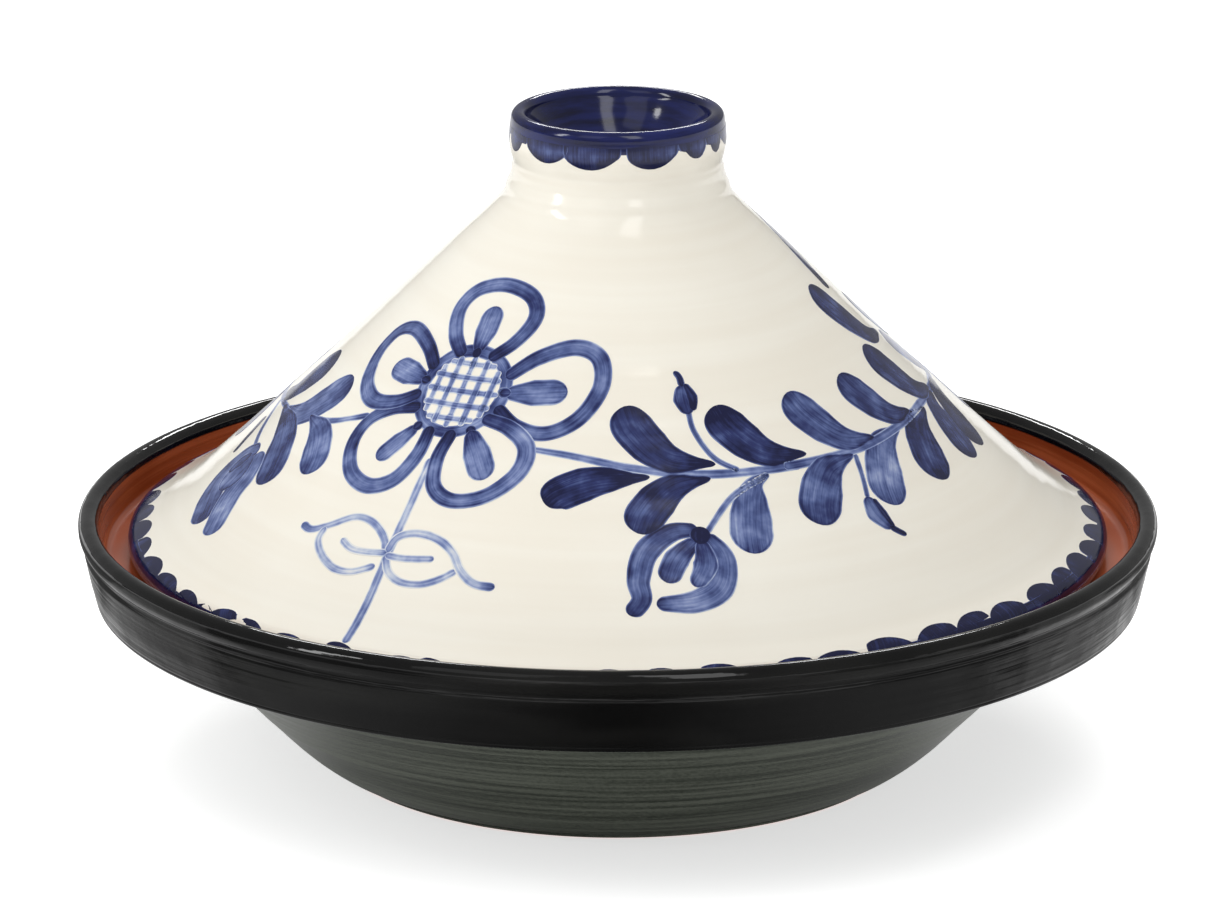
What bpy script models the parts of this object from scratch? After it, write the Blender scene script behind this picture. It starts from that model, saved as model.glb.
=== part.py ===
"""Tagine pot: a thrown and glazed cooking dish with its conical lid.

Metres, +Z up. The origin is the centre of the dish's foot, on the surface that the pot stands on.
Both pieces are bodies of revolution about Z. The lid's origin is on that axis, at the level of the
ledge it rests on, so that it lifts straight off.
"""
from math import cos, radians, sin

import bpy

MM = 0.001

# Driving dimensions, in millimetres. A pair is (radius, height above the foot).
TURNING_STEPS = 64            # flats round each turned piece
ARC_STEP_DEG = 22.5           # longest turn between two points of a rounded edge
OUT = 0.0                     # directions on a section, in degrees
UP = 90.0
IN = 180.0
DOWN = 270.0
RUNNING_GAP = 0.3             # clearance between the lid and everything of the dish

RIM_RADIUS = 160.0            # outside of the lip: the pot's widest place
LIP_BEAD_RADIUS = 3.0         # rolled lip
LIP_BEAD_HEIGHT = 71.5        # centre of the rolled lip
LIP_OUTSIDE = [(159.9, 69.3), (158.7, 66.6)]   # the lip's face, down to where the band below it starts
BAND_FOOT = (155.3, 49.9)     # lower edge of the near-vertical outer band
BAND_EDGE_RADIUS = 1.2
BAND_UNDERSIDE_IN = (143.5, 50.9)
BOWL_OUTSIDE = [(138.5, 48.4), (123.1, 33.9), (109.5, 20.0), (99.6, 10.0), (92.4, 4.0)]
FOOT_RADIUS = 86.5
FOOT_EDGE_RADIUS = 1.5
FOOT_RING_INNER_RADIUS = 72.0
FOOT_RECESS_DEPTH = 2.0

LEDGE_HEIGHT = 61.8           # seat that carries the lid
LEDGE_OUTER_RADIUS = 150.0
LEDGE_INNER_RADIUS = 135.0
LEDGE_EDGE_RADIUS = 1.5
LEDGE_CORNER_RADIUS = 3.0
LIP_FOOT_INSIDE = (153.6, 67.0)
BOWL_INSIDE = [(131.0, 54.0), (117.4, 39.6), (103.8, 25.8), (93.0, 15.8), (82.0, 10.6)]
FLOOR_CORNER_RADIUS = 70.0
FLOOR_HEIGHT = 9.0

LID_EDGE_CENTRE = (140.9, LEDGE_HEIGHT + RUNNING_GAP + 4.5)
LID_EDGE_RADIUS = 4.5
LID_EDGE_TOP_DEG = 58.0       # where the rounded edge leaves the cone
LID_SEAT_INNER_RADIUS = 137.0
LID_WALL = 6.5
LID_OUTSIDE = [(33.6, 170.6), (36.2, 167.5), (42.0, 161.3), (56.8, 147.2), (82.6, 121.9), (109.6, 96.2),
               (127.2, 80.3)]
COLLAR_CREST_CENTRE = (28.95, 192.8)
COLLAR_CREST_RADIUS = 2.4
COLLAR_OUTSIDE = [(31.8, 186.5), (31.2, 182.6), (30.6, 179.6), (31.4, 176.0)]
CUP_FLOOR_HEIGHT = 175.2
CUP_INSIDE = [(8.0, 175.9), (14.5, 178.4), (19.2, 182.4), (22.5, 186.6), (24.9, 190.4)]
LID_INSIDE_PEAK = 163.0
LID_INSIDE_SHOULDER = (24.0, 160.0)


def clear_scene():
    """Start from an empty scene."""
    for thing in list(bpy.data.objects):
        bpy.data.objects.remove(thing, do_unlink=True)


def collection_for(name):
    """A collection linked to the scene."""
    group = bpy.data.collections.new(name)
    bpy.context.scene.collection.children.link(group)
    return group


def glaze(name, colour, roughness):
    """A plain glazed-earthenware material."""
    material = bpy.data.materials.new(name)
    material.use_nodes = True
    shader = material.node_tree.nodes["Principled BSDF"]
    shader.inputs["Base Color"].default_value = (*colour, 1.0)
    shader.inputs["Roughness"].default_value = roughness
    shader.inputs["Metallic"].default_value = 0.0
    material.diffuse_color = (*colour, 1.0)
    return material


def arc(centre, radius, start_deg, end_deg):
    """Points on a rounded edge of the section, both ends included."""
    spans = max(2, round(abs(end_deg - start_deg) / ARC_STEP_DEG))
    points = []
    for step in range(spans + 1):
        angle = radians(start_deg + (end_deg - start_deg) * step / spans)
        points.append((centre[0] + radius * cos(angle), centre[1] + radius * sin(angle)))
    return points


def inward(outline, thickness):
    """The inner face of a wall whose outer face runs down and outwards along the outline."""
    face = []
    for index, (radius, height) in enumerate(outline):
        before = outline[max(index - 1, 0)]
        after = outline[min(index + 1, len(outline) - 1)]
        run = after[0] - before[0]
        drop = before[1] - after[1]
        length = (run * run + drop * drop) ** 0.5
        face.append((radius - thickness * drop / length, height - thickness * run / length))
    return face


def dish_section():
    """Half section of the dish, from the middle of its floor, over the lip and down to the foot."""
    lip_centre = (RIM_RADIUS - LIP_BEAD_RADIUS, LIP_BEAD_HEIGHT)
    ledge_corner = (LEDGE_OUTER_RADIUS, LEDGE_HEIGHT + LEDGE_CORNER_RADIUS)
    ledge_edge = (LEDGE_INNER_RADIUS + LEDGE_EDGE_RADIUS, LEDGE_HEIGHT - LEDGE_EDGE_RADIUS)
    band_edge = (BAND_FOOT[0] - BAND_EDGE_RADIUS, BAND_FOOT[1] + BAND_EDGE_RADIUS)
    foot_edge = (FOOT_RADIUS - FOOT_EDGE_RADIUS, FOOT_EDGE_RADIUS)
    section = [(0.0, FLOOR_HEIGHT), (FLOOR_CORNER_RADIUS, FLOOR_HEIGHT)]
    section += reversed(BOWL_INSIDE)
    section += arc(ledge_edge, LEDGE_EDGE_RADIUS, IN, UP)
    section += arc(ledge_corner, LEDGE_CORNER_RADIUS, DOWN, DOWN + UP)
    section += [LIP_FOOT_INSIDE]
    section += arc(lip_centre, LIP_BEAD_RADIUS, IN, OUT)
    section += LIP_OUTSIDE
    section += arc(band_edge, BAND_EDGE_RADIUS, OUT, -UP)
    section += [BAND_UNDERSIDE_IN]
    section += BOWL_OUTSIDE
    section += arc(foot_edge, FOOT_EDGE_RADIUS, OUT, -UP)
    section += [(FOOT_RING_INNER_RADIUS, 0.0)]
    section += [(FOOT_RING_INNER_RADIUS - FOOT_RECESS_DEPTH, FOOT_RECESS_DEPTH), (0.0, FOOT_RECESS_DEPTH)]
    return section


def lid_section():
    """Half section of the lid, from the floor of its cup, over the collar and back up inside."""
    rounded_edge = arc(LID_EDGE_CENTRE, LID_EDGE_RADIUS, LID_EDGE_TOP_DEG, -UP)
    section = [(0.0, CUP_FLOOR_HEIGHT)]
    section += CUP_INSIDE
    section += arc(COLLAR_CREST_CENTRE, COLLAR_CREST_RADIUS, IN, OUT)
    section += COLLAR_OUTSIDE
    section += LID_OUTSIDE
    section += rounded_edge
    section += [(LID_SEAT_INNER_RADIUS, rounded_edge[-1][1])]
    cone_inside = inward(LID_OUTSIDE + [rounded_edge[0]], LID_WALL)
    section += [point for point in reversed(cone_inside) if point[0] > LID_INSIDE_SHOULDER[0] + LID_WALL]
    section += [LID_INSIDE_SHOULDER, (0.0, LID_INSIDE_PEAK)]
    return section


def turned_piece(name, section, base_height, material, group):
    """A closed body of revolution about Z, with its origin on the axis at base_height."""
    corners = [(radius * MM, 0.0, (height - base_height) * MM) for radius, height in section]
    edges = [(index, index + 1) for index in range(len(corners) - 1)]
    mesh = bpy.data.meshes.new(name)
    mesh.from_pydata(corners, edges, [])
    mesh.materials.append(material)
    piece = bpy.data.objects.new(name, mesh)
    piece.location = (0.0, 0.0, base_height * MM)
    group.objects.link(piece)
    turning = piece.modifiers.new("turning", "SCREW")
    turning.axis = "Z"
    turning.angle = radians(360.0)
    turning.steps = TURNING_STEPS
    turning.render_steps = TURNING_STEPS
    turning.use_merge_vertices = True
    turning.merge_threshold = 0.01 * MM
    turning.use_smooth_shade = True
    return piece


def build():
    """The dish on its foot, and the lid on the dish's ledge."""
    clear_scene()
    pot = collection_for("tagine_pot")
    black_glaze = glaze("black_glaze", (0.012, 0.013, 0.012), 0.12)
    cream_glaze = glaze("cream_glaze", (0.86, 0.82, 0.73), 0.15)
    turned_piece("base_dish", dish_section(), 0.0, black_glaze, pot)
    turned_piece("lid", lid_section(), LEDGE_HEIGHT, cream_glaze, pot)


build()
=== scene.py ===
import math

import bmesh
import bpy
import numpy as np
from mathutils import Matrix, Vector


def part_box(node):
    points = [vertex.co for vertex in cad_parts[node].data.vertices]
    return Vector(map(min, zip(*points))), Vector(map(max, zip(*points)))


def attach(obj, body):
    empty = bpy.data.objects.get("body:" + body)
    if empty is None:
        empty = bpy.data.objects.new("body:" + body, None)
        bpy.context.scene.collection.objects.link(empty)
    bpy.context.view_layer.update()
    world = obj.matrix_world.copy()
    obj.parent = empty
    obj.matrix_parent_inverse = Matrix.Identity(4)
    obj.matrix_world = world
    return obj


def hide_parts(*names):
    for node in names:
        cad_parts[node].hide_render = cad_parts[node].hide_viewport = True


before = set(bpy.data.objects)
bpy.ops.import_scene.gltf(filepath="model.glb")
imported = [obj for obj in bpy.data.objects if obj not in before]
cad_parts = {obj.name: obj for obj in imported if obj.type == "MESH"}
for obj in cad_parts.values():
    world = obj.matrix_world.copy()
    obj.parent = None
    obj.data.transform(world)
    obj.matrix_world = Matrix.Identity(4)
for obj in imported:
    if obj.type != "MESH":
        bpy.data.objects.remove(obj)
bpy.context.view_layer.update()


# ---- Dish -------------------------------------------------------------------------------------------
# The dish is thrown in one piece from red earthenware: foot ring, bowl, overhanging band, rolled lip,
# and the ledge inside it that carries the lid. Its half section, in mm, is turned about Z with the
# shallow rings that the thrower's fingers leave. It is glazed black outside, clear honey brown inside.

MM = 0.001
DISH_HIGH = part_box("base_dish")[1]
LID_LOW, LID_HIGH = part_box("lid")


def rounded(centre, radius, start_deg, end_deg, count=10):
    """A rounded edge of a section."""
    angles = np.radians(np.linspace(start_deg, end_deg, count))
    return [(centre[0] + radius * math.cos(a), centre[1] + radius * math.sin(a)) for a in angles]


def flowing(points, step):
    """A smooth line through a few points, with a point about every step."""
    points = np.array(points, float)
    before = np.vstack([2 * points[0] - points[1], points[:-1]])
    after = np.vstack([points[1:], 2 * points[-1] - points[-2]])
    slopes = (after - before) / 2
    line = []
    for index in range(len(points) - 1):
        start, end = points[index], points[index + 1]
        count = max(2, math.ceil(np.linalg.norm(end - start) / step))
        for t in np.arange(count) / count:
            line.append((2 * t**3 - 3 * t**2 + 1) * start + (t**3 - 2 * t**2 + t) * slopes[index]
                        + (3 * t**2 - 2 * t**3) * end + (t**3 - t**2) * slopes[index + 1])
    line.append(points[-1])
    return [tuple(point) for point in line]


def stepped(points, step):
    """The same line with its long straight runs divided."""
    line = [points[0]]
    for start, end in zip(points[:-1], points[1:]):
        count = max(1, math.ceil(math.dist(start, end) / step))
        for index in range(1, count + 1):
            line.append(tuple(np.array(start) + (np.array(end) - np.array(start)) * index / count))
    return line


class Wire:
    """A socket of a node tree, used in sums like a number."""

    def __init__(self, tree, socket):
        self.tree = tree
        self.socket = socket

    def maths(self, operation, *others):
        values = dict(enumerate((self, *others)))
        return node(self.tree, "ShaderNodeMath", {"operation": operation}, values)

    def reflected(self, operation, first):
        return node(self.tree, "ShaderNodeMath", {"operation": operation}, {0: first, 1: self})

    def __add__(self, other):
        return self.maths("ADD", other)

    def __radd__(self, other):
        return self.reflected("ADD", other)

    def __sub__(self, other):
        return self.maths("SUBTRACT", other)

    def __rsub__(self, other):
        return self.reflected("SUBTRACT", other)

    def __mul__(self, other):
        return self.maths("MULTIPLY", other)

    def __rmul__(self, other):
        return self.reflected("MULTIPLY", other)

    def __truediv__(self, other):
        return self.maths("DIVIDE", other)

    def __rtruediv__(self, other):
        return self.reflected("DIVIDE", other)

    def clamped(self):
        return node(self.tree, "ShaderNodeClamp", {}, {0: self})

    def rise(self, low, high):
        """0 below low, 1 above high, eased between them."""
        return node(self.tree, "ShaderNodeMapRange", {"interpolation_type": "SMOOTHSTEP"},
                    {"Value": self, "From Min": low, "From Max": high})

    def part(self, axis):
        return node(self.tree, "ShaderNodeSeparateXYZ", {}, {0: self}, axis)


def node(tree, kind, settings, sockets, output=0):
    """Adds a node: its settings first, then the values or wires of its sockets. Gives one output."""
    made = tree.nodes.new(kind)
    for name, value in settings.items():
        if name == "stops":
            ramp = made.color_ramp
            while len(ramp.elements) > 1:
                ramp.elements.remove(ramp.elements[-1])
            ramp.elements[0].position = value[0][0]
            ramp.elements[0].color = (*value[0][1], 1.0)
            for place, colour in value[1:]:
                ramp.elements.new(place).color = (*colour, 1.0)
        else:
            setattr(made, name, value)
    for key, value in sockets.items():
        if isinstance(value, Wire):
            tree.links.new(value.socket, made.inputs[key])
        else:
            made.inputs[key].default_value = value
    return Wire(tree, made.outputs[output])


def new_tree(name, inputs, takes_geometry=False):
    """A Geometry Nodes tree with named inputs. Gives the tree and a wire for each input."""
    tree = bpy.data.node_groups.new(name, "GeometryNodeTree")
    tree.interface.new_socket("Geometry", in_out="OUTPUT", socket_type="NodeSocketGeometry")
    if takes_geometry:
        inputs = {"Geometry": "Geometry", **inputs}
    for label, kind in inputs.items():
        tree.interface.new_socket(label, in_out="INPUT", socket_type="NodeSocket" + kind)
    entry = tree.nodes.new("NodeGroupInput")
    return tree, {label: Wire(tree, entry.outputs[label]) for label in inputs}


def finish_tree(tree, geometry, material):
    """Every tree ends by realizing its instances and setting the material."""
    real = node(tree, "GeometryNodeRealizeInstances", {}, {0: geometry})
    painted = node(tree, "GeometryNodeSetMaterial", {}, {"Geometry": real, "Material": material})
    tree.links.new(painted.socket, tree.nodes.new("NodeGroupOutput").inputs[0])


def run_trees(name, start_mesh, stages):
    """Runs trees on a mesh, one after the other, and gives a plain object with the result."""
    carrier = bpy.data.objects.new(name + "_carrier", start_mesh)
    bpy.context.collection.objects.link(carrier)
    for tree, values in stages:
        stage = carrier.modifiers.new(tree.name, "NODES")
        stage.node_group = tree
        for socket in tree.interface.items_tree:
            if socket.in_out == "INPUT" and socket.name in values:
                stage[socket.identifier] = values[socket.name]
    graph = bpy.context.evaluated_depsgraph_get()
    mesh = bpy.data.meshes.new_from_object(carrier.evaluated_get(graph), preserve_all_data_layers=True,
                                           depsgraph=graph)
    mesh.name = name
    bpy.data.objects.remove(carrier, do_unlink=True)
    piece = bpy.data.objects.new(name, mesh)
    bpy.context.collection.objects.link(piece)
    return piece


def make_wheel_tree():
    """Turns a half section about Z and leaves throwing rings on it."""
    tree, given = new_tree("wheel", {"Section": "Object", "Turns": "Int", "Ring depth": "Float",
                                     "Ring pitch": "Float", "Warp": "Float", "Seed": "Float",
                                     "Material": "Material"})
    section = node(tree, "GeometryNodeObjectInfo", {}, {"Object": given["Section"]}, "Geometry")
    rings = node(tree, "GeometryNodeAttributeDomainSize", {"component": "MESH"}, {0: section},
                 "Point Count")
    round_count = given["Turns"] + 1
    grid = node(tree, "GeometryNodeMeshGrid", {}, {"Vertices X": rings, "Vertices Y": round_count})
    index = node(tree, "GeometryNodeInputIndex", {}, {})
    ring = ((index + 0.5) / round_count).maths("FLOOR")
    spoke = index - ring * round_count
    angle = spoke * (2 * math.pi) / given["Turns"]

    def from_section(kind, value):
        return node(tree, "GeometryNodeSampleIndex", {"data_type": kind},
                    {"Geometry": section, "Value": value, "Index": ring})

    place = from_section("FLOAT_VECTOR", node(tree, "GeometryNodeInputPosition", {}, {}))
    fields = {}
    for label in ("along", "thrown"):
        named = node(tree, "GeometryNodeInputNamedAttribute", {"data_type": "FLOAT"}, {"Name": label})
        fields[label] = from_section("FLOAT", named)
    sine = angle.maths("SINE")
    cosine = angle.maths("COSINE")
    ring_place = node(tree, "ShaderNodeCombineXYZ", {}, {
        0: sine * 0.6 + given["Seed"], 1: cosine * 0.6, 2: fields["along"] * MM / given["Ring pitch"]})
    rings_left = node(tree, "ShaderNodeTexNoise", {}, {
        "Vector": ring_place, "Scale": 1.0, "Detail": 2.0})
    warp_place = node(tree, "ShaderNodeCombineXYZ", {}, {
        0: sine * 1.3, 1: cosine * 1.3, 2: place.part(2) * 12.0 + given["Seed"]})
    warp = node(tree, "ShaderNodeTexNoise", {}, {"Vector": warp_place, "Scale": 1.0, "Detail": 0.0})
    push = (rings_left - 0.5) * given["Ring depth"] * 2.0 + (warp - 0.5) * given["Warp"] * 2.0
    radius = place.part(0) + push * fields["thrown"]
    spun = node(tree, "ShaderNodeCombineXYZ", {}, {
        0: radius * sine, 1: radius * cosine * -1.0, 2: place.part(2)})
    turned = node(tree, "GeometryNodeSetPosition", {}, {"Geometry": grid, "Position": spun})
    for label, value in fields.items():
        turned = node(tree, "GeometryNodeStoreNamedAttribute",
                      {"data_type": "FLOAT", "domain": "POINT"},
                      {"Geometry": turned, "Name": label, "Value": value})
    closed = node(tree, "GeometryNodeMergeByDistance", {}, {"Geometry": turned, "Distance": 0.001 * MM})
    finish_tree(tree, closed, given["Material"])
    return tree


def section_object(name, runs):
    """A half section as a line of vertices. Each run is (points in mm, how freely the clay was
    thrown): 1 leaves the thrower's rings, 0 is trimmed true. The freedom eases from run to run."""
    points, thrown = [], []
    for run, freedom in runs:
        for point in run:
            if not points or math.dist(point, points[-1]) > 0.02:
                points.append(point)
                thrown.append(freedom)
    lengths = [math.dist(a, b) for a, b in zip(points[:-1], points[1:])]
    along = np.concatenate([[0.0], np.cumsum(lengths)])
    ease = np.hanning(17)[1:-1]
    thrown = np.convolve(np.pad(thrown, len(ease) // 2, "edge"), ease / ease.sum(), "valid")
    mesh = bpy.data.meshes.new(name)
    mesh.from_pydata([(r * MM, 0.0, z * MM) for r, z in points],
                     [(i, i + 1) for i in range(len(points) - 1)], [])
    for label, values in (("along", along), ("thrown", thrown)):
        mesh.attributes.new(label, "FLOAT", "POINT").data.foreach_set("value", np.array(values, float))
    line = bpy.data.objects.new(name, mesh)
    bpy.context.collection.objects.link(line)
    return line, points, along


def turned_piece(name, section, ring_depth, ring_pitch, warp, seed, material):
    """A turned piece from its section, smooth, closed and facing out. Sizes are in mm."""
    piece = run_trees(name, bpy.data.meshes.new(name), [(wheel, {
        "Section": section, "Turns": STEPS_ROUND, "Ring depth": ring_depth * MM,
        "Ring pitch": ring_pitch * MM, "Warp": warp * MM, "Seed": seed, "Material": material})])
    bpy.data.objects.remove(section, do_unlink=True)
    tidy_faces(piece)
    return piece


def tidy_faces(piece):
    """Faces all point out, and only true edges are sharp."""
    work = bmesh.new()
    work.from_mesh(piece.data)
    if work.calc_volume(signed=True) < 0:
        bmesh.ops.reverse_faces(work, faces=work.faces)
    work.to_mesh(piece.data)
    work.free()
    piece.data.shade_smooth()
    piece.data.set_sharp_from_angle(angle=math.radians(50))


STEPS_ROUND = 320
wheel = make_wheel_tree()

RIM = DISH_HIGH[0] / MM
LIP_TOP = DISH_HIGH[2] / MM
SEAT_GAP = 0.3
LEDGE = LID_LOW[2] / MM - SEAT_GAP
FOOT_RADIUS = 86.5
LIP_ROLL = 3.0

bowl_inside = flowing([(60.0, 9.0), (82.0, 10.6), (93.0, 15.8), (103.8, 25.8), (117.4, 39.6),
                       (131.0, 54.0), (134.6, LEDGE - 2.5)], 2.0)
floor_line = stepped([(0.0, 8.6), (60.0, 9.0)], 4.0)
ledge_line = (rounded((136.5, LEDGE - 1.5), 1.5, 170, 90, 6)
              + stepped([(138.0, LEDGE), (149.5, LEDGE)], 2.0)
              + rounded((150.0, LEDGE + 3.0), 3.0, 272, 350, 8))
wall_inside = flowing([(152.95, LEDGE + 2.8), (153.6, 67.0), (154.0, LIP_TOP - LIP_ROLL)], 1.0)
lip = rounded((RIM - LIP_ROLL, LIP_TOP - LIP_ROLL), LIP_ROLL, 180, 0, 22)
band = flowing([(RIM, LIP_TOP - LIP_ROLL), (RIM - 0.1, 70.2), (RIM - 0.8, 68.6), (RIM - 1.6, 67.5),
                (RIM - 1.7, 66.4), (RIM - 1.55, 65.2), (RIM - 2.2, 62.0), (RIM - 3.5, 56.0),
                (RIM - 4.6, 51.4)], 0.5)
band_foot = (rounded((RIM - 5.9, 51.1), 1.2, 10, -90, 8)
             + stepped([(RIM - 6.2, 49.9), (143.8, 50.8)], 2.0))
bowl_outside = flowing([(142.6, 50.4), (138.5, 48.0), (123.1, 33.9), (109.5, 20.0), (99.6, 10.0),
                        (92.4, 4.2), (88.0, 1.9)], 0.8)
foot_line = (rounded((FOOT_RADIUS - 1.2, 1.2), 1.2, 30, -90, 8)
             + stepped([(85.0, 0.0), (73.0, 0.0)], 3.0)
             + rounded((73.0, 1.0), 1.0, 270, 180, 5)
             + stepped([(71.0, 2.0), (0.0, 2.0)], 5.0))
dish_section, dish_points, dish_along = section_object("dish_section", [
    (floor_line, 0.0), (bowl_inside, 1.0), (ledge_line, 0.0), (wall_inside, 0.3), (lip, 0.5),
    (band, 1.0), (band_foot, 0.3), (bowl_outside, 1.0), (foot_line, 0.0)])

# Its glazes: clear honey over red clay inside, black over the lip and the band, and a thinner, drier
# grey-green coat wiped on the bowl. The foot ring is bare, so that it doesn't stick to the kiln shelf.

def srgb(red, green, blue):
    """A colour as it is seen, 0 to 255, turned into light values."""
    values = [c / 255 for c in (red, green, blue)]
    return tuple(c / 12.92 if c <= 0.04045 else ((c + 0.055) / 1.055) ** 2.4 for c in values)


def blend(tree, factor, first, second):
    """Colour from first to second."""
    return node(tree, "ShaderNodeMix", {"data_type": "RGBA"}, {0: factor, 6: first, 7: second}, 2)


def colour(rgb):
    return (*rgb, 1.0)


def new_material(name):
    """An empty material, its tree, and its Object coordinates."""
    material = bpy.data.materials.new(name)
    material.use_nodes = True
    tree = material.node_tree
    tree.nodes.clear()
    return material, tree, node(tree, "ShaderNodeTexCoord", {}, {}, "Object")


def grain(tree, where, stretch, detail=3.0):
    """Noise with so many grains to a metre along X, Y and Z."""
    place = node(tree, "ShaderNodeMapping", {}, {"Vector": where, "Scale": stretch})
    return node(tree, "ShaderNodeTexNoise", {}, {"Vector": place, "Scale": 1.0, "Detail": detail})


def shader(material, tree, base, roughness, height=None, height_mm=1.0, specular=0.5):
    """The glazed surface: its colour, its roughness and, if height is given, its bumps."""
    sockets = {"Base Color": base, "Roughness": roughness, "Specular IOR Level": specular}
    if height is not None:
        sockets["Normal"] = node(tree, "ShaderNodeBump", {}, {
            "Height": height, "Distance": height_mm * MM, "Strength": 1.0})
    surface = node(tree, "ShaderNodeBsdfPrincipled", {}, sockets)
    tree.links.new(surface.socket, tree.nodes.new("ShaderNodeOutputMaterial").inputs["Surface"])
    return material


def attribute(tree, name):
    return node(tree, "ShaderNodeAttribute", {"attribute_name": name}, {}, "Fac")


def along_at(radius, height, points, along):
    """How far along a section the point nearest to this one lies."""
    return along[int(np.argmin([math.dist(point, (radius, height)) for point in points]))]


def make_dish_material():
    material, tree, where = new_material("dish_glazes")
    along = attribute(tree, "along")
    drift = grain(tree, where, (30, 30, 30), 2.0) - 0.5
    line = along + drift * 0.9
    inner_line = along_at(153.9, LIP_TOP - 3.6, dish_points, dish_along)
    band_line = along_at(146.0, 50.6, dish_points, dish_along)
    bare_line = along_at(FOOT_RADIUS - 0.4, 0.3, dish_points, dish_along)
    outside = line.rise(inner_line - 0.25, inner_line + 0.25)
    below_band = line.rise(band_line - 0.8, band_line + 0.8)
    bare = line.rise(bare_line - 0.2, bare_line + 0.2)

    rings = grain(tree, where, (9, 9, 700), 3.0)
    broad = grain(tree, where, (14, 14, 60), 2.0)
    specks = grain(tree, where, (900, 900, 900), 2.0)

    clay_depth = (broad * 0.6 + rings * 0.4).rise(0.35, 0.68)
    honey = blend(tree, clay_depth, colour(srgb(142, 62, 28)), colour(srgb(190, 98, 58)))
    black = blend(tree, broad.rise(0.45, 0.7), colour(srgb(7, 7, 7)), colour(srgb(20, 20, 19)))
    dry = (rings * 0.75 + specks * 0.25).rise(0.36, 0.64)
    grey_green = blend(tree, dry, colour(srgb(44, 48, 41)), colour(srgb(78, 82, 73)))
    clay = blend(tree, specks.rise(0.4, 0.65), colour(srgb(120, 66, 42)), colour(srgb(150, 88, 58)))

    base = blend(tree, outside, honey, black)
    base = blend(tree, below_band, base, grey_green)
    base = blend(tree, bare, base, clay)
    gloss_in = 0.15 + broad * 0.08
    gloss_out = 0.04 + rings * 0.06
    rough = gloss_in + (gloss_out - gloss_in) * outside
    rough = rough + ((0.3 + dry * 0.12) - rough) * below_band
    rough = rough + (0.85 - rough) * bare
    waves = grain(tree, where, (80, 80, 110), 2.0)
    height = rings * 0.45 + broad * 0.35 + waves * 0.8 * outside * (1.0 - below_band) + specks * 0.02
    return shader(material, tree, base, rough, height, height_mm=0.35, specular=0.36)


dish_body = turned_piece("dish_body", dish_section, ring_depth=0.16, ring_pitch=3.2, warp=0.25,
                         seed=3.0, material=make_dish_material())
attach(dish_body, "dish")
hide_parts("base_dish")


# ---- Lid --------------------------------------------------------------------------------------------
# The lid is a hollow cone thrown in one piece with its neck and its open, cup-shaped collar, the grip
# it is lifted by. It is glazed cream outside, cobalt blue on the collar and the edge, and clear inside.
# Its seat is wiped bare, and it stands on the dish's ledge by its own weight.

SEAT = LID_LOW[2] / MM
LID_RADIUS = LID_HIGH[0] / MM
EDGE_ROUND = 4.5
EDGE_CENTRE = (LID_RADIUS - EDGE_ROUND, SEAT + EDGE_ROUND)
COLLAR_TOP = LID_HIGH[2] / MM
CREST_ROUND = 2.4
CREST = (28.95, COLLAR_TOP - CREST_ROUND)
LID_WALL = 6.5
SEAT_INSIDE = 137.0

cone = flowing([(31.15, 178.6), (31.5, 176.2), (32.7, 173.4), (33.5, 170.7), (35.6, 167.9),
                (39.6, 163.7), (47.6, 156.1), (56.8, 147.2), (69.5, 134.8), (82.6, 121.9),
                (96.2, 109.0), (109.6, 96.3), (119.2, 87.5), (127.4, 80.3), (135.8, 74.4),
                (143.3, 70.42)], 1.1)
collar_outside = flowing([(31.35, CREST[1]), (31.75, 189.0), (31.85, 186.0), (31.4, 183.0),
                          (30.75, 180.4), (31.15, 178.6)], 0.7)
crest = rounded(CREST, CREST_ROUND, 180, 0, 18)
cup_inside = flowing([(0.0, 175.2), (8.0, 175.9), (14.5, 178.4), (19.2, 182.4), (22.5, 186.6),
                      (24.9, 190.4), (26.55, CREST[1])], 0.8)
edge_outside = rounded(EDGE_CENTRE, EDGE_ROUND, 58, -88, 20)


def inner_face(outline, wall):
    """The inner face of a wall, a wall's thickness inside its outer face."""
    outline = np.array(outline)
    run = np.gradient(outline, axis=0)
    run /= np.linalg.norm(run, axis=1)[:, None]
    return [tuple(point) for point in outline + wall * np.stack([run[:, 1], -run[:, 0]], 1)]


cone_inside = [p for p in reversed(inner_face(cone, LID_WALL)) if p[0] > 31.0 and p[1] > SEAT + 3.0]
lid_section, lid_points, lid_along = section_object("lid_section", [
    (cup_inside, 0.0), (crest, 0.0), (collar_outside, 0.0), (cone, 1.0), (edge_outside, 0.0),
    (stepped([(EDGE_CENTRE[0], SEAT), (SEAT_INSIDE, SEAT)], 1.5), 0.0),
    (cone_inside, 0.0), (flowing([cone_inside[-1], (24.0, 160.0), (0.0, 162.6)], 3.0), 0.0)])


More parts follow.
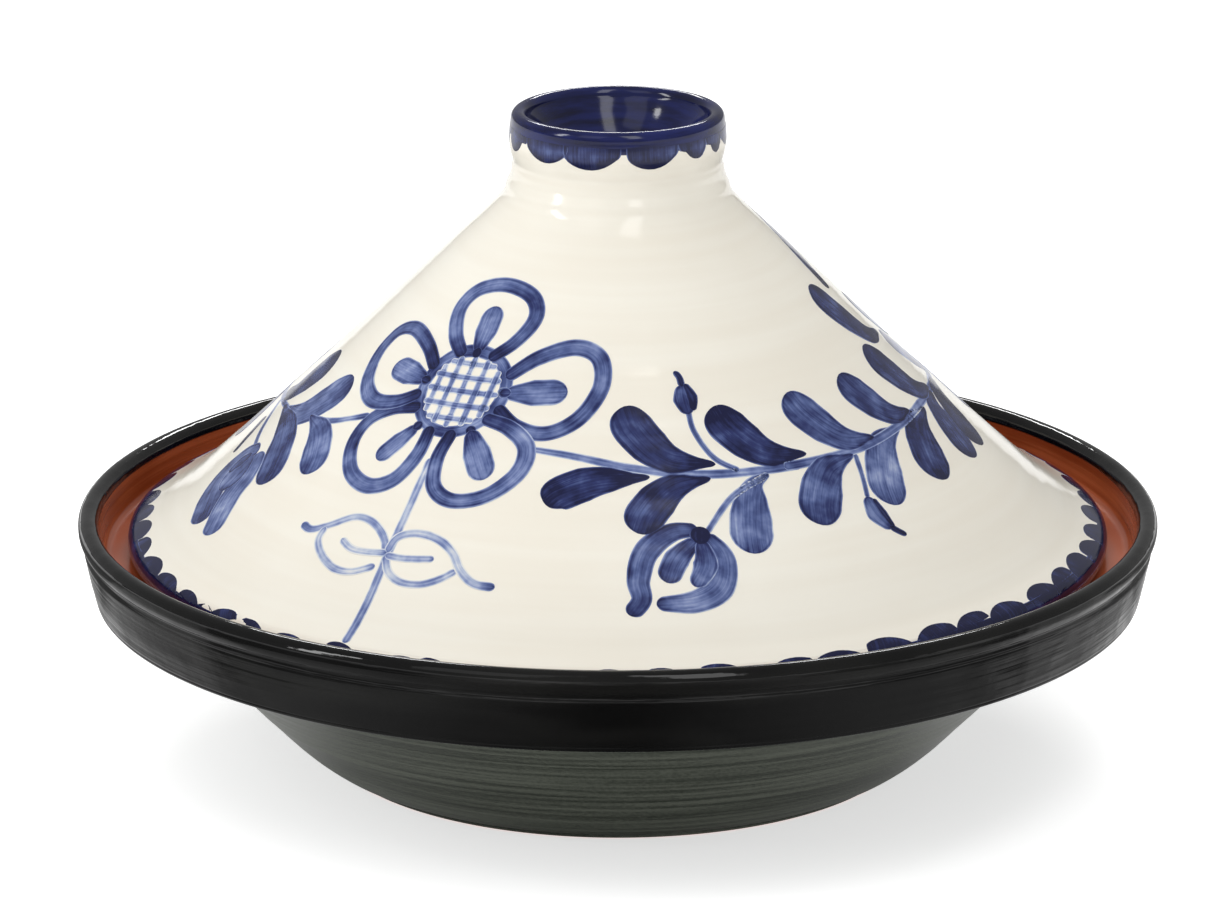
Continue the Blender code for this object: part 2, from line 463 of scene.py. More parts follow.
def make_lid_material():
    material, tree, where = new_material("cream_glaze")
    along = attribute(tree, "along")
    seat_line = along_at(EDGE_CENTRE[0] + 2.2, SEAT + 0.5, lid_points, lid_along)
    inside_line = along_at(SEAT_INSIDE, SEAT + 0.4, lid_points, lid_along)
    under = along.rise(seat_line - 0.3, seat_line + 0.3)
    inside = along.rise(inside_line - 0.3, inside_line + 0.3)

    clouds = grain(tree, where, (11, 11, 11), 3.0)
    rings = grain(tree, where, (7, 7, 260), 2.0)
    pits = grain(tree, where, (1200, 1200, 1200), 2.0)

    cream = blend(tree, (clouds * 0.6 + rings * 0.4).rise(0.35, 0.68), colour(srgb(238, 232, 218)),
                  colour(srgb(243, 239, 227)))
    clay = blend(tree, pits.rise(0.4, 0.65), colour(srgb(150, 84, 54)), colour(srgb(178, 106, 70)))
    honey = blend(tree, rings.rise(0.35, 0.65), colour(srgb(104, 44, 18)), colour(srgb(150, 72, 38)))
    collar_line = along_at(31.75, 189.2, lid_points, lid_along)
    edge_line = along_at(144.6, 67.9, lid_points, lid_along)
    wobble = (clouds - 0.5) * 3.0
    coat = 1.0 - (along + wobble).rise(collar_line - 0.15, collar_line + 0.15)
    coat = coat + (along + wobble).rise(edge_line - 0.15, edge_line + 0.15)
    swept = grain(tree, where, (60, 60, 420), 3.0)
    cobalt = blend(tree, swept.rise(0.3, 0.7), colour(srgb(9, 12, 50)), colour(srgb(24, 32, 88)))
    base = blend(tree, coat.clamped(), cream, cobalt)
    base = blend(tree, under, base, clay)
    base = blend(tree, inside, base, honey)
    rough = 0.09 + clouds * 0.05
    rough = rough + (0.8 - rough) * under
    rough = rough + (0.2 - rough) * inside
    height = rings * 0.5 + clouds * 0.4 + pits * 0.012
    return shader(material, tree, base, rough, height, height_mm=0.22)


lid_body = turned_piece("lid_body", lid_section, ring_depth=0.10, ring_pitch=4.2, warp=0.3,
                        seed=8.0, material=make_lid_material())
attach(lid_body, "lid")
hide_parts("lid")


# ---- Lid: scalloped borders -------------------------------------------------------------------------
# The lid is painted by hand in cobalt before the last firing, each mark one stroke of a loaded brush:
# a thin skin of colour, streaked by the hairs. Short fat dabs, side by side and no two alike, hang from
# the blue collar and stand on the blue edge, so that each border ends in scallops.

# In mm: how thick the paint is, how far its root is sunk in the glaze, and what each layer adds.
PAINT_SKIN = 0.04
PAINT_ROOT = 0.06
LAYER_STEP = 0.012
TOP_POINTS, LOOP_POINTS = 9, 12
face = np.array(collar_outside + cone[1:] + edge_outside[1:9])
face_down = np.concatenate([[0.0], np.cumsum(np.hypot(*np.diff(face, axis=0).T))])
face_run = np.gradient(face, axis=0)
face_run /= np.linalg.norm(face_run, axis=1)[:, None]


def radius_at(height):
    return np.interp(height, face[::-1, 1], face[::-1, 0])


def slope_at(height):
    """Distance down the outer face, in mm from the collar."""
    return np.interp(height, face[::-1, 1], face_down[::-1])


def height_at(down):
    return np.interp(down, face_down, face[:, 1])


def near_spot(turn, height, points):
    """Turns points in mm to the right and up the slope from a spot into turns and heights."""
    placed = []
    for right, up in points:
        there = float(height_at(slope_at(height) - up))
        placed.append((turn + math.degrees(right / radius_at(there)), there))
    return placed


def stroke(path, widths, tones, start=1.0, end=1.0, layer=0):
    """One brush stroke. path: (degrees from the front, height). widths and tones: (share of the way,
    value). start and end: how many mm the rounding of its ends takes."""
    path = np.array(path, float)
    origin = path[0, 0]
    flat = np.stack([np.radians(path[:, 0] - origin) * radius_at(path[:, 1]), -slope_at(path[:, 1])], 1)
    line = np.array(flowing(flat, 0.5))
    way = np.concatenate([[0.0], np.cumsum(np.hypot(*np.diff(line, axis=0).T))])
    length = way[-1]
    steps = max(6, math.ceil(length / 0.6))
    ends = 1.0 - np.cos(np.linspace(0, math.pi / 2, 7))
    stops = np.concatenate([np.linspace(0, length, steps + 1), ends * start, length - ends * end])
    stops = np.unique(np.round(stops[(stops >= 0) & (stops <= length)], 2))
    right = np.interp(stops, way, line[:, 0])
    height = height_at(-np.interp(stops, way, line[:, 1]))
    half = np.interp(stops / length, *zip(*widths)) / 2
    for cap, gone in ((start, stops), (end, length - stops)):
        if cap:
            half = half * np.sqrt(1.0 - (1.0 - np.clip(gone / cap, 0.0, 1.0)) ** 2 * 0.9996)
    turn = np.radians(origin) + right / radius_at(height)
    tone = np.interp(stops / length, *zip(*tones))
    return {"turn": turn, "height": height, "half": half, "tone": tone, "run": stops, "layer": layer}


def make_brush_tree():
    """Lays strokes on the lid: a line becomes a ribbon as wide as the brush, on the face of the lid.
    The ribbon's loop has TOP_POINTS across its upper face and the rest below, just inside the glaze."""
    tree, given = new_tree("brush", {"Lid": "Object", "Lift": "Float", "Root": "Float",
                                     "Material": "Material"}, takes_geometry=True)

    def named(label, kind="FLOAT"):
        return node(tree, "GeometryNodeInputNamedAttribute", {"data_type": kind}, {"Name": label})

    path = node(tree, "GeometryNodeMeshToCurve", {}, {0: given["Geometry"]})
    path = node(tree, "GeometryNodeSetCurveNormal", {"mode": "FREE"},
                {"Curve": path, "Normal": named("out", "FLOAT_VECTOR")})
    index = node(tree, "GeometryNodeInputIndex", {}, {})
    top = index.maths("LESS_THAN", TOP_POINTS - 0.5)
    across = top * (index * (2 / (TOP_POINTS - 1)) - 1.0) + (1.0 - top) * (TOP_POINTS + 1.0 - index)
    loop = node(tree, "GeometryNodeMeshLine", {}, {"Count": LOOP_POINTS})
    for label, value in (("across", across), ("top", top)):
        loop = node(tree, "GeometryNodeStoreNamedAttribute", {"data_type": "FLOAT", "domain": "POINT"},
                    {"Geometry": loop, "Name": label, "Value": value})
    spread = node(tree, "ShaderNodeCombineXYZ", {}, {1: named("across")})
    loop = node(tree, "GeometryNodeSetPosition", {}, {"Geometry": loop, "Position": spread})
    loop = node(tree, "GeometryNodeMeshToCurve", {}, {0: loop})
    loop = node(tree, "GeometryNodeSetSplineCyclic", {}, {"Geometry": loop, "Cyclic": True})
    ribbon = node(tree, "GeometryNodeCurveToMesh", {}, {
        "Curve": path, "Profile Curve": loop, "Scale": named("half_width"), "Fill Caps": True})
    lid = node(tree, "GeometryNodeObjectInfo", {}, {"Object": given["Lid"]}, "Geometry")
    nearest = node(tree, "GeometryNodeProximity", {"target_element": "FACES"}, {0: lid})
    layered = given["Lift"] + named("layer") * LAYER_STEP * MM
    lift = named("top") * (layered + given["Root"]) - given["Root"]
    raised = node(tree, "ShaderNodeVectorMath", {"operation": "SCALE"},
                  {0: named("out", "FLOAT_VECTOR"), "Scale": lift})
    place = node(tree, "ShaderNodeVectorMath", {"operation": "ADD"}, {0: nearest, 1: raised})
    laid = node(tree, "GeometryNodeSetPosition", {}, {"Geometry": ribbon, "Position": place})
    finish_tree(tree, laid, given["Material"])
    return tree


def painted(name, strokes):
    """A piece made of strokes, which rides on the lid."""
    places, outs, edges = [], [], []
    fields = {label: [] for label in ("half_width", "tone", "run", "layer", "seed")}
    for number, mark in enumerate(strokes):
        first = len(places)
        tilt = np.array([np.interp(mark["height"], face[::-1, 1], face_run[::-1, k]) for k in (0, 1)])
        for k, (turn, height) in enumerate(zip(mark["turn"], mark["height"])):
            sine, cosine = math.sin(turn), -math.cos(turn)
            radius = radius_at(height)
            places.append((radius * sine * MM, radius * cosine * MM, height * MM))
            outs.append((-tilt[1][k] * sine, -tilt[1][k] * cosine, tilt[0][k]))
        count = len(places) - first
        edges += [(first + k, first + k + 1) for k in range(count - 1)]
        fields["half_width"] += list(mark["half"] * MM)
        fields["tone"] += list(mark["tone"])
        fields["run"] += list(mark["run"])
        fields["layer"] += [mark["layer"] + number % 5] * count
        fields["seed"] += [number * 3.7] * count
    mesh = bpy.data.meshes.new(name)
    mesh.from_pydata(places, edges, [])
    for label, values in fields.items():
        mesh.attributes.new(label, "FLOAT", "POINT").data.foreach_set("value", np.array(values, float))
    mesh.attributes.new("out", "FLOAT_VECTOR", "POINT").data.foreach_set("vector", np.ravel(outs))
    piece = run_trees(name, mesh, [(brush, {
        "Lid": lid_body, "Lift": PAINT_SKIN * MM, "Root": PAINT_ROOT * MM,
        "Material": cobalt_strokes})])
    work = bmesh.new()
    work.from_mesh(piece.data)
    bmesh.ops.recalc_face_normals(work, faces=work.faces)
    work.to_mesh(piece.data)
    work.free()
    piece.data.shade_smooth()
    piece.data.set_sharp_from_angle(angle=math.radians(40))
    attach(piece, "lid")


def make_cobalt_material():
    """Cobalt wash: deeper where the tone is high, streaked along the stroke, paler at its thin edge."""
    material, tree, where = new_material("cobalt_strokes")
    tone = attribute(tree, "tone")
    half = attribute(tree, "half_width") / MM
    across = attribute(tree, "across")
    run = attribute(tree, "run")
    seed = attribute(tree, "seed")

    def hairs(lengthwise, sideways, shift, detail, roughness):
        place = node(tree, "ShaderNodeCombineXYZ", {}, {
            0: run * lengthwise, 1: across * half * sideways, 2: seed + shift})
        return node(tree, "ShaderNodeTexNoise", {}, {
            "Vector": place, "Scale": 1.0, "Detail": detail, "Roughness": roughness})

    coarse = hairs(0.05, 0.85, 0.0, 4.0, 0.6)
    fine = hairs(0.09, 2.1, 5.0, 3.0, 0.5)
    pools = grain(tree, where, (140, 140, 140), 3.0)
    to_edge = (1.0 - across.maths("ABSOLUTE")) * half
    thin_edge = 1.0 - to_edge.rise(0.05, 0.5)
    pooled = to_edge.rise(0.25, 0.6) * (1.0 - to_edge.rise(0.7, 1.5))
    streaks = (coarse - 0.5) * 0.42 + (fine - 0.5) * 0.34
    depth = tone + streaks + (pools - 0.5) * 0.9 - thin_edge * 0.24 + pooled * 0.12
    ramp = node(tree, "ShaderNodeValToRGB", {"stops": [
        (0.0, srgb(222, 222, 220)), (0.2, srgb(178, 188, 210)), (0.4, srgb(124, 138, 182)),
        (0.6, srgb(79, 94, 143)), (0.8, srgb(40, 49, 98)), (1.0, srgb(16, 20, 58))]}, {0: depth})
    return shader(material, tree, ramp, 0.1 + pools * 0.06)


brush = make_brush_tree()
cobalt_strokes = make_cobalt_material()

EDGE_DABS = 56
EDGE_DAB_WIDTH = 16.2
EDGE_LINE_WIDTH = 5.2
EDGE_LINE_DROP = 3.3
BORDER_TURNS = [-120, -90, -65, -48, 0, 20, 45, 65, 90, 120]
BORDER_TOPS = [72.6, 73.2, 70.9, 69.4, 69.6, 70.7, 71.8, 72.4, 73.0, 72.6]


def border_top(turn):
    """How high the hand-painted edge border stands at a turn from the front."""
    return float(np.interp(turn, BORDER_TURNS, BORDER_TOPS, period=360))


hand = np.random.default_rng(7)
border_line = [(turn, border_top(turn) - EDGE_LINE_DROP) for turn in range(-180, 181, 9)]
edge_dabs = [stroke(border_line, [(0, EDGE_LINE_WIDTH), (1, EDGE_LINE_WIDTH)], [(0, 0.98), (1, 0.98)],
                    start=0, end=0)]
for number in range(EDGE_DABS):
    turn = 360 / EDGE_DABS * (number + hand.uniform(-0.12, 0.12))
    top = border_top(turn) + hand.uniform(-0.3, 0.4)
    lean = hand.uniform(-0.8, 0.8)
    edge_dabs.append(stroke([(turn, top - 3.2), (turn, top - 2.6), (turn + lean, top)],
                            [(0, EDGE_DAB_WIDTH), (0.5, EDGE_DAB_WIDTH), (1, 14.0)],
                            [(0, 1.05), (1, 0.98)], start=0, end=4.0))
painted("edge_scallops", edge_dabs)

# Each collar dab: its turn from the front, its width, and how low it reaches.
collar_dabs = []
for turn, width, low in [
        (-95.5, 17, 185), (-67, 13, 186), (-41.5, 16.5, 184.8), (-14, 18, 184.3), (19, 16.5, 184.5),
        (44, 12, 186.2), (62, 10, 186.5), (80, 12, 186), (105, 16, 185.2), (131, 15, 184.6),
        (157, 15, 185.4), (183, 15, 184.8), (209, 15, 185.5), (236, 16, 184.7)]:
    collar_dabs.append(stroke([(turn, 191.0), (turn, 188.0), (turn + hand.uniform(-2, 2), low)],
                              [(0, width), (0.5, width), (1, 0.85 * width)],
                              [(0, 0.95), (0.4, 0.78), (0.7, 0.98), (1, 1.1)], start=0, end=5.4))
painted("collar_scallops", collar_dabs)


# ---- Lid: flower ------------------------------------------------------------------------------------
# Five looped petals round a chequered centre, each loop one stroke out and back. A dab fills the middle
# of each petal. The stalk runs straight down to the edge, with a pair of curly outlined leaves.

FLOWER = (-35.5, 127.3)
# A petal: its direction in degrees, then its length and width. A dab: direction, start, end and width.
PETALS = [(94, 39, 32), (8, 43.5, 34), (-53, 42.5, 32), (-126, 43.5, 31), (176, 44.5, 30)]
PETAL_DABS = [(95, 13, 29, 7.5), (7, 14, 32, 8.5), (-52, 15, 34, 8.5), (-122, 16, 32, 6.5),
              (176, 14, 30, 8)]
HALF_STROKE = 2.6
RING_RADIUS = 13.7
CHEQUER_REACH = 12.2
CHEQUER_PITCH = 4.6
CHEQUER_LINE = 2.1


def flower(turn, height, spin=0):
    """Strokes of a flower: petals, dabs, and the centre with its chequer."""
    loops, dabs, centre = [], [], []

    def ray(angle, distances):
        return near_spot(turn, height, [(math.cos(angle) * d, math.sin(angle) * d) for d in distances])

    for direction, length, width in PETALS:
        angle = math.radians(direction + spin)
        ahead = np.array([math.cos(angle), math.sin(angle)])
        aside = np.array([-ahead[1], ahead[0]])
        reach, half = length - HALF_STROKE, width / 2 - HALF_STROKE
        side = [(0.31, 0.34), (0.50, 0.80), (0.73, 1.0), (0.92, 0.70)]
        outline = [(l, -w) for l, w in side] + [(1.0, 0.0)] + [(l, w) for l, w in reversed(side)]
        points = [tuple(ahead * reach * l + aside * half * w) for l, w in outline]
        loops.append(stroke(near_spot(turn, height, points),
                            [(0, 4.2), (0.2, 4.9), (0.5, 5.0), (0.7, 5.6), (0.85, 5.2), (1, 4.2)],
                            [(0, 0.9), (0.06, 0.8), (0.2, 0.62), (0.36, 0.7), (0.5, 0.58), (0.8, 0.52),
                             (0.94, 0.68), (1, 0.86)], start=1.6, end=1.6, layer=5))
    for direction, start, end, width in PETAL_DABS:
        angle = math.radians(direction + spin)
        dabs.append(stroke(ray(angle, (start, (start + end) / 2, end)),
                           [(0, 0.45 * width), (0.45, width), (1, width)],
                           [(0, 0.82), (0.25, 0.6), (0.7, 0.45), (1, 0.52)],
                           start=2.0, end=width * 0.55, layer=3))
        dabs.append(stroke(ray(angle, (start - 1.6, start, start + 1.8)), [(0, 3.6), (1, 3.2)],
                           [(0, 0.95), (1, 0.8)], start=1.7, end=1.7, layer=6))
    ring = [(RING_RADIUS * math.cos(math.radians(a)), RING_RADIUS * math.sin(math.radians(a)))
            for a in range(0, 376, 15)]
    centre.append(stroke(near_spot(turn, height, ring), [(0, 3.9), (0.3, 4.5), (0.6, 3.7), (1, 4.4)],
                         [(k / 12, 0.42 + 0.32 * (k % 2)) for k in range(13)], start=1.5, end=1.5))
    tilt = math.radians(spin + 3)
    for number in range(5):
        off = (number - 2) * CHEQUER_PITCH
        half = math.sqrt(CHEQUER_REACH**2 - off**2)
        # The wash is twice as deep where two lines of the chequer cross.
        tones = []
        for k in range(61):
            spot = half * (k / 30 - 1) + CHEQUER_PITCH / 2
            crossing = abs(spot % CHEQUER_PITCH - CHEQUER_PITCH / 2) < 1.1
            tones.append((k / 60, 0.54 if crossing else 0.3))
        for upright in (True, False):
            points = []
            for share in np.linspace(-1, 1, 5):
                a, b = (off, half * share) if upright else (half * share, off)
                points.append((a * math.cos(tilt) - b * math.sin(tilt),
                               a * math.sin(tilt) + b * math.cos(tilt)))
            centre.append(stroke(near_spot(turn, height, points),
                                 [(0, CHEQUER_LINE), (1, CHEQUER_LINE)], tones,
                                 start=0.8, end=0.8, layer=2))
    return loops, dabs, centre


def thin(turn, height, points, width, tone, layer=0):
    """A thin line of even width, with a darker spot where the brush is lifted."""
    path = [(turn + a, height + b) for a, b in points]
    return stroke(path, [(0, width), (1, width)],
                  [(0, tone + 0.14), (0.08, tone), (0.9, tone), (1, tone + 0.3)],
                  start=width * 0.6, end=width * 0.6, layer=layer)


def curly_leaves(turn, height):
    """The stalk below a flower and its two outlined leaves. The stalk meets them at turn and height."""
    return [thin(turn, height, points, width, tone, layer) for points, width, tone, layer in [
        ([(-0.6, 22), (0, 9), (0.3, 0), (0.9, -9), (1.6, -19)], 2.85, 0.27, 0),
        ([(-17.3, 1.2), (-15, 0.6), (-12.6, 2.3), (-8.6, 5.8), (-5.2, 5.8), (-2, 3.5), (0, 0)],
         2.7, 0.23, 1),
        ([(-12.6, 2.1), (-12.3, -1), (-10, -3.8), (-6.8, -5.7), (-3.8, -5.5), (-0.7, -3.2)],
         2.7, 0.21, 2),
        ([(-8.5, 0.7), (-5.9, -0.8), (-3, -0.7), (0, 0)], 2.55, 0.21, 3),
        ([(0, 0), (0.5, 3.6), (3.3, 5.3), (7.1, 4.7), (10, 2.3), (12, -1.2), (14.5, -3.7),
          (17.5, -4.1)], 2.85, 0.25, 1),
        ([(0, -0.5), (1.8, -4), (4.3, -5.6), (7, -5.4), (9.5, -3.7), (11.5, -1.3)], 2.7, 0.21, 2),
        ([(0, -0.5), (3, -0.5), (7.6, 0.4)], 2.55, 0.21, 3)]]


loops, dabs, centre = flower(*FLOWER)
painted("flower_petals", loops)
painted("flower_dabs", dabs)
painted("flower_centre", centre)
painted("flower_stalk", curly_leaves(-34.0, 89.6))


# ---- Lid: leafy vine --------------------------------------------------------------------------------
# A vine runs from the flower round to the right. Its leaves are single strokes, set down fine on the
# vine and pressed out to a round end that leans back toward the flower.

def leaf(root, tip, width, tone):
    """One stroke from the vine to the round tip."""
    rise, swing = tip[1] - root[1], tip[0] - root[0]
    path = [root, (root[0] + 0.52 * swing, root[1] + 0.14 * rise),
            (root[0] + 0.87 * swing, root[1] + 0.6 * rise), tip]
    return stroke(path, [(0, 1.4), (0.14, 0.3 * width), (0.34, 0.7 * width), (0.58, 0.97 * width),
                         (0.78, width), (1, 0.9 * width)],
                  [(0, tone + 0.1), (0.3, tone - 0.04), (0.75, tone - 0.1), (1, tone + 0.08)],
                  start=1.5, end=width * 0.5, layer=1)


DARK, MIDDLE, LIGHT = 0.92, 0.74, 0.6
vine = [stroke([(-17.5, 116.6), (-14, 116.3), (-7.5, 115.4), (2.5, 113.0), (12, 111.3), (21, 110.6),
                (33, 110.4)],
               [(0, 2.2), (0.5, 3.0), (1, 3.0)], [(0, 0.36), (0.5, 0.42), (1, 0.5)]),
        stroke([(30, 110.5), (46.5, 110.8), (61, 112.1), (75, 113.1), (85.5, 112.7), (100, 112),
                (120, 110)],
               [(0, 3.0), (0.6, 2.8), (1, 2.0)], [(0, 0.5), (0.5, 0.42), (1, 0.5)], layer=1)]
painted("vine", vine)

# Each leaf: its root and its tip as turn and height, its width and its tone.
leaves = [leaf(*given) for given in [
        ((17.5, 113), (1.3, 127), 12.5, DARK), ((35.5, 112.5), (20.4, 126), 13, DARK),
        ((52.5, 112), (38.4, 126.5), 13, MIDDLE), ((68, 113.5), (55.5, 127), 13, 0.82),
        ((85, 113.5), (72.5, 129.5), 14.5, DARK), ((105, 113), (92, 127), 11, MIDDLE),
        ((5.5, 111), (-11.7, 104.5), 11.5, DARK), ((16, 110), (3, 98.5), 12, DARK),
        ((26.5, 109.5), (19.8, 92.5), 13, LIGHT), ((45, 110), (32, 96.5), 13.5, MIDDLE),
        ((61, 112), (46.5, 97), 13.5, LIGHT), ((74, 112), (60.5, 98), 15, DARK),
        ((84, 112.5), (74.5, 97.5), 13.5, 0.84), ((94, 112), (81.5, 97.5), 14, 0.98),
        ((112, 111), (102, 98), 10.5, MIDDLE)]]
painted("vine_leaves", leaves)


# ---- Lid: buds on the vine --------------------------------------------------------------------------
# Between the leaves are two little closed buds on thin stalks, one above the vine and one below it. A
# large one hangs below too, made of four fat strokes from one dark root.

def line(path, width, tone, layer=0):
    """A thin even line through places given as turn and height."""
    return stroke(path, [(0, width), (1, width * 0.85)],
                  [(0, tone + 0.15), (0.1, tone), (0.9, tone), (1, tone + 0.2)],
                  start=width * 0.6, end=width * 0.6, layer=layer)


def fat(path, widths, tone, layer=1):
    """A pressed stroke, fat in the middle."""
    shares = np.linspace(0, 1, len(widths))
    return stroke(path, list(zip(shares, widths)),
                  [(0, tone + 0.12), (0.35, tone), (0.8, tone - 0.06), (1, tone + 0.14)],
                  start=widths[0] * 0.5, end=widths[-1] * 0.5, layer=layer)


buds = [line([(21.5, 111), (17.5, 114.5), (15, 120.5), (14.6, 125.5)], 2.0, 0.5),
        fat([(14.6, 124.6), (14.2, 128.0), (14.4, 131.4)], [3.4, 6.4, 3.4], 0.68, 1),
        fat([(15.7, 125.4), (16.1, 128.5), (15.1, 131.6)], [2.0, 3.4, 1.8], 0.86, 3),
        line([(14.4, 131.0), (14.2, 133.2), (13.2, 134.6)], 2.2, 0.9, 2),
        line([(26.5, 109.5), (19, 105.5), (13.4, 98)], 2.2, 0.42),
        fat([(12.2, 98.8), (8.0, 98.4), (4.1, 94.4), (2.8, 88.3), (3.1, 84), (1.5, 80.7)],
            [4.0, 6.2, 7.6, 7.2, 6.0, 5.4], 0.68, 1),
        fat([(13.1, 97.6), (15.0, 92.4), (13.8, 86.2), (10.2, 83.2), (5.0, 83.0)],
            [4.0, 7.4, 8.6, 7.2, 4.2], 0.56, 2),
        fat([(11.6, 96.6), (8.4, 92.6), (6.6, 87.6)], [3.6, 7.6, 7.0], 0.66, 3),
        fat([(12.3, 96.4), (12.4, 91.2), (10.4, 86.4)], [3.6, 7.4, 4.6], 0.58, 5),
        fat([(12.6, 99.4), (12.1, 95.6)], [6.4, 6.0], 0.98, 8),
        line([(45.5, 110), (43.9, 104.5), (42.4, 100)], 2.0, 0.5),
        fat([(42.4, 100.4), (42.3, 96.2), (43.2, 92.4)], [3.4, 7.6, 3.0], 0.6, 1),
        fat([(43.3, 99.6), (43.6, 96.0), (43.8, 92.6)], [1.8, 2.6, 1.6], 0.86, 3),
        line([(43.2, 93.0), (44.4, 91.2), (45.2, 90.4)], 2.4, 0.8, 2)]
painted("vine_buds", buds)


# ---- Lid: sprig to the left -------------------------------------------------------------------------
# A second, shorter sprig leaves the flower to the left, its leaves leaning in toward the flower too.
# A big bud hangs from it. Two last leaves and a long dash stand high above the end of the vine.

sprig = [line([(-54.5, 116.8), (-59, 114.5), (-63, 112.5), (-69.5, 110.5), (-81, 108), (-93, 106)],
              2.4, 0.42),
         line([(-91, 106.3), (-105, 105.5), (-120, 106.5), (-133, 109)], 2.4, 0.46, 1)]
painted("sprig", sprig)

sprig_leaves = [leaf(*given) for given in [
        ((-83.5, 107.6), (-68.8, 122.2), 14, 0.64), ((-95, 107.5), (-86, 123), 16, DARK),
        ((-71.5, 110.8), (-58.3, 100.3), 11.5, LIGHT), ((-86, 107.2), (-66.9, 93.8), 12.5, 0.78),
        ((-104, 106), (-98, 91), 10, DARK), ((-112, 106), (-104, 119), 10, MIDDLE),
        ((-124, 107), (-114, 94), 10, LIGHT), ((-130, 108), (-124, 122), 10, DARK),
        ((90, 128), (73.5, 146), 13, DARK), ((112, 122), (97, 137), 11, MIDDLE)]]
painted("sprig_leaves", sprig_leaves)

left_bud = [line([(-93, 105.8), (-85, 100.3), (-79.2, 97)], 2.4, 0.55),
            fat([(-77.5, 98.2), (-80.6, 94.0), (-79.8, 87.6), (-72.9, 80.2)], [7, 11, 12, 9], 0.66, 1),
            fat([(-76.4, 98.2), (-73.6, 93.6), (-72.0, 87.6), (-67.8, 79.8)], [7, 12, 11, 8], 0.52, 2),
            fat([(-77.2, 96.6), (-77.2, 92.0), (-76.6, 87.0)], [8, 13, 10], 0.6, 3),
            fat([(-78.4, 96.6), (-79.6, 93.0), (-79.6, 90.4)], [3, 6, 3], 0.78, 4),
            line([(-90.5, 101.5), (-86.5, 92.5)], 3.4, 0.92),
            fat([(108, 165), (98, 158.5), (90, 149.5), (86, 142)], [3, 7, 7, 4], 1.0)]
painted("left_bud", left_bud)


# ---- Lid: far flower --------------------------------------------------------------------------------
# At the back stands a second flower on its stalk, between the ends of the vine and of the sprig. It is
# painted like the first, and turned a few degrees from it.

FAR_FLOWER = (165, 126.5)
loops, dabs, centre = flower(*FAR_FLOWER, spin=4)
painted("far_flower", loops + dabs + centre)
painted("far_stalk", curly_leaves(166.5, 89.6))


# ---- Camera, floor and light ------------------------------------------------------------------------
# The pot stands on a plain pale floor, lit by soft lamps in a white room. A long lens looks down on it
# from a little above the rim.

LOOKS_DOWN_DEG = 16.62
camera = bpy.data.objects.new("camera", bpy.data.cameras.new("camera"))
bpy.context.collection.objects.link(camera)
camera.location = (-0.0005, -1.9046, 0.656)
camera.rotation_euler = (math.radians(90 - LOOKS_DOWN_DEG), 0.0, 0.0)
camera.data.sensor_width = 36.0
camera.data.lens = 195.8
camera.data.clip_end = 50.0
bpy.context.scene.camera = camera


def flat_sheet(name, half_size, height, material):
    """A square lying level, part of the studio."""
    mesh = bpy.data.meshes.new(name)
    corners = [(-1, -1), (1, -1), (1, 1), (-1, 1)]
    mesh.from_pydata([(x * half_size, y * half_size, 0) for x, y in corners], [], [(0, 1, 2, 3)])
    mesh.materials.append(material)
    sheet = bpy.data.objects.new(name, mesh)
    bpy.context.collection.objects.link(sheet)
    sheet.location.z = height
    return sheet


def studio_surface(material, tree, sockets):
    """A plain surface of the studio, which may glow a little."""
    surface = node(tree, "ShaderNodeBsdfPrincipled", {}, sockets)
    tree.links.new(surface.socket, tree.nodes.new("ShaderNodeOutputMaterial").inputs["Surface"])
    return material


floor_material, floor_tree, _ = new_material("pale_floor")
studio_surface(floor_material, floor_tree, {
    "Base Color": colour((0.9, 0.9, 0.9)), "Roughness": 0.7, "Specular IOR Level": 0.2,
    "Emission Color": colour((1.0, 1.0, 1.0)), "Emission Strength": 0.62})
floor = flat_sheet("floor", 60.0, -0.0002, floor_material)
floor.visible_glossy = False

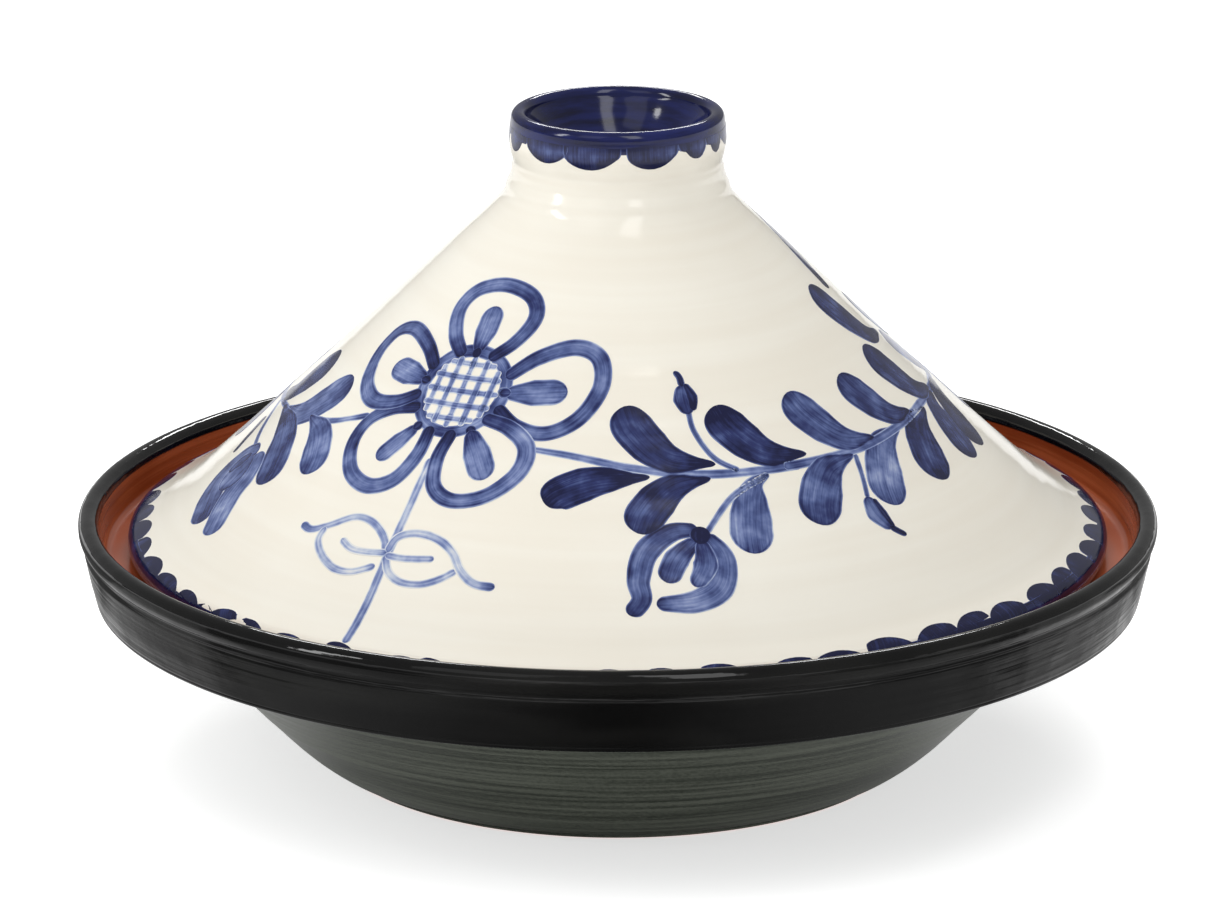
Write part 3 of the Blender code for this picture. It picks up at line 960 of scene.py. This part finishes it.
# Only the gloss of the glazes sees this sheet. It glows, and its glow is painted reflection: pale all
# round, and dark near the front of the pot like a black card laid there, so that the black glaze stays
# black.
painted_reflection_material, painted_reflection_tree, painted_reflection_where = new_material("card")
side = painted_reflection_where.part(0).maths("ABSOLUTE")
reach = node(painted_reflection_tree, "ShaderNodeVectorMath", {"operation": "LENGTH"}, {0: painted_reflection_where}, 1)
depth = painted_reflection_where.part(1).maths("ABSOLUTE")
# Blotches of painted reflection, for the right of the black band.
painted_reflection_patches = grain(painted_reflection_tree, painted_reflection_where, (26, 26, 26), 2.0).rise(0.5, 0.6)
# Painted reflection: dark in front of the pot, paler to the sides and under the bowl, blotched to the
# right, pale far off.
painted_reflection_near = (side.rise(0.0, 0.15) * 0.36 + 0.04) * (1.0 - side.rise(0.19, 0.22) * 0.75)
painted_reflection_near = painted_reflection_near + side.rise(0.08, 0.12) * (1.0 - depth.rise(0.06, 0.1)) * 0.35
painted_reflection_near = painted_reflection_near + painted_reflection_where.part(0).rise(0.15, 0.18) * painted_reflection_patches * 0.22
painted_reflection_glow = blend(painted_reflection_tree, painted_reflection_near + reach.rise(0.42, 0.8) * 0.9, colour((0, 0, 0)),
                   colour((1, 1, 1)))
studio_surface(painted_reflection_material, painted_reflection_tree, {
    "Base Color": colour((0.0, 0.0, 0.0)), "Emission Color": painted_reflection_glow, "Emission Strength": 1.0})
card = flat_sheet("card", 6.0, -0.001, painted_reflection_material)
for seen in ("camera", "diffuse", "transmission", "shadow", "volume_scatter"):
    setattr(card, "visible_" + seen, False)


def softbox(name, place, aim, size, power):
    """A rectangular soft lamp at place, aimed at a point."""
    lamp = bpy.data.lights.new(name, "AREA")
    lamp.shape = "RECTANGLE"
    lamp.size, lamp.size_y = size
    lamp.energy = power
    holder = bpy.data.objects.new(name, lamp)
    bpy.context.collection.objects.link(holder)
    holder.location = place
    away = np.array(place) - np.array(aim)
    holder.rotation_euler = (math.atan2(math.hypot(away[0], away[1]), away[2]), 0.0,
                             math.atan2(away[0], -away[1]))
    return holder


softbox("key", (-1.9, -0.8, 1.3), (0.0, 0.0, 0.08), (0.3, 1.2), 10.5)
overhead = softbox("overhead", (-0.3, 0.2, 2.6), (0.0, 0.0, 0.1), (5.0, 4.0), 66.0)
overhead.visible_glossy = False
softbox("window_left", (-1.05, -1.6, 2.1), (0.0, 0.0, 0.15), (1.1, 1.6), 2.8)
softbox("window_right", (0.55, -1.5, 2.0), (0.0, 0.0, 0.15), (0.55, 1.9), 8.5)
softbox("back", (0.0, 1.8, 1.25), (0.0, 0.0, 0.1), (0.85, 0.15), 8.0)

world = bpy.data.worlds.new("studio")
bpy.context.scene.world = world
world.use_nodes = True
sky = world.node_tree
sky.nodes.clear()
above = node(sky, "ShaderNodeTexCoord", {}, {}, "Generated").part(2).rise(-0.02, 0.05)
background = node(sky, "ShaderNodeBackground", {}, {
    "Color": colour((1.0, 1.0, 1.0)), "Strength": above * 0.32})
sky.links.new(background.socket, sky.nodes.new("ShaderNodeOutputWorld").inputs["Surface"])
bpy.context.scene.view_settings.view_transform = "Standard"
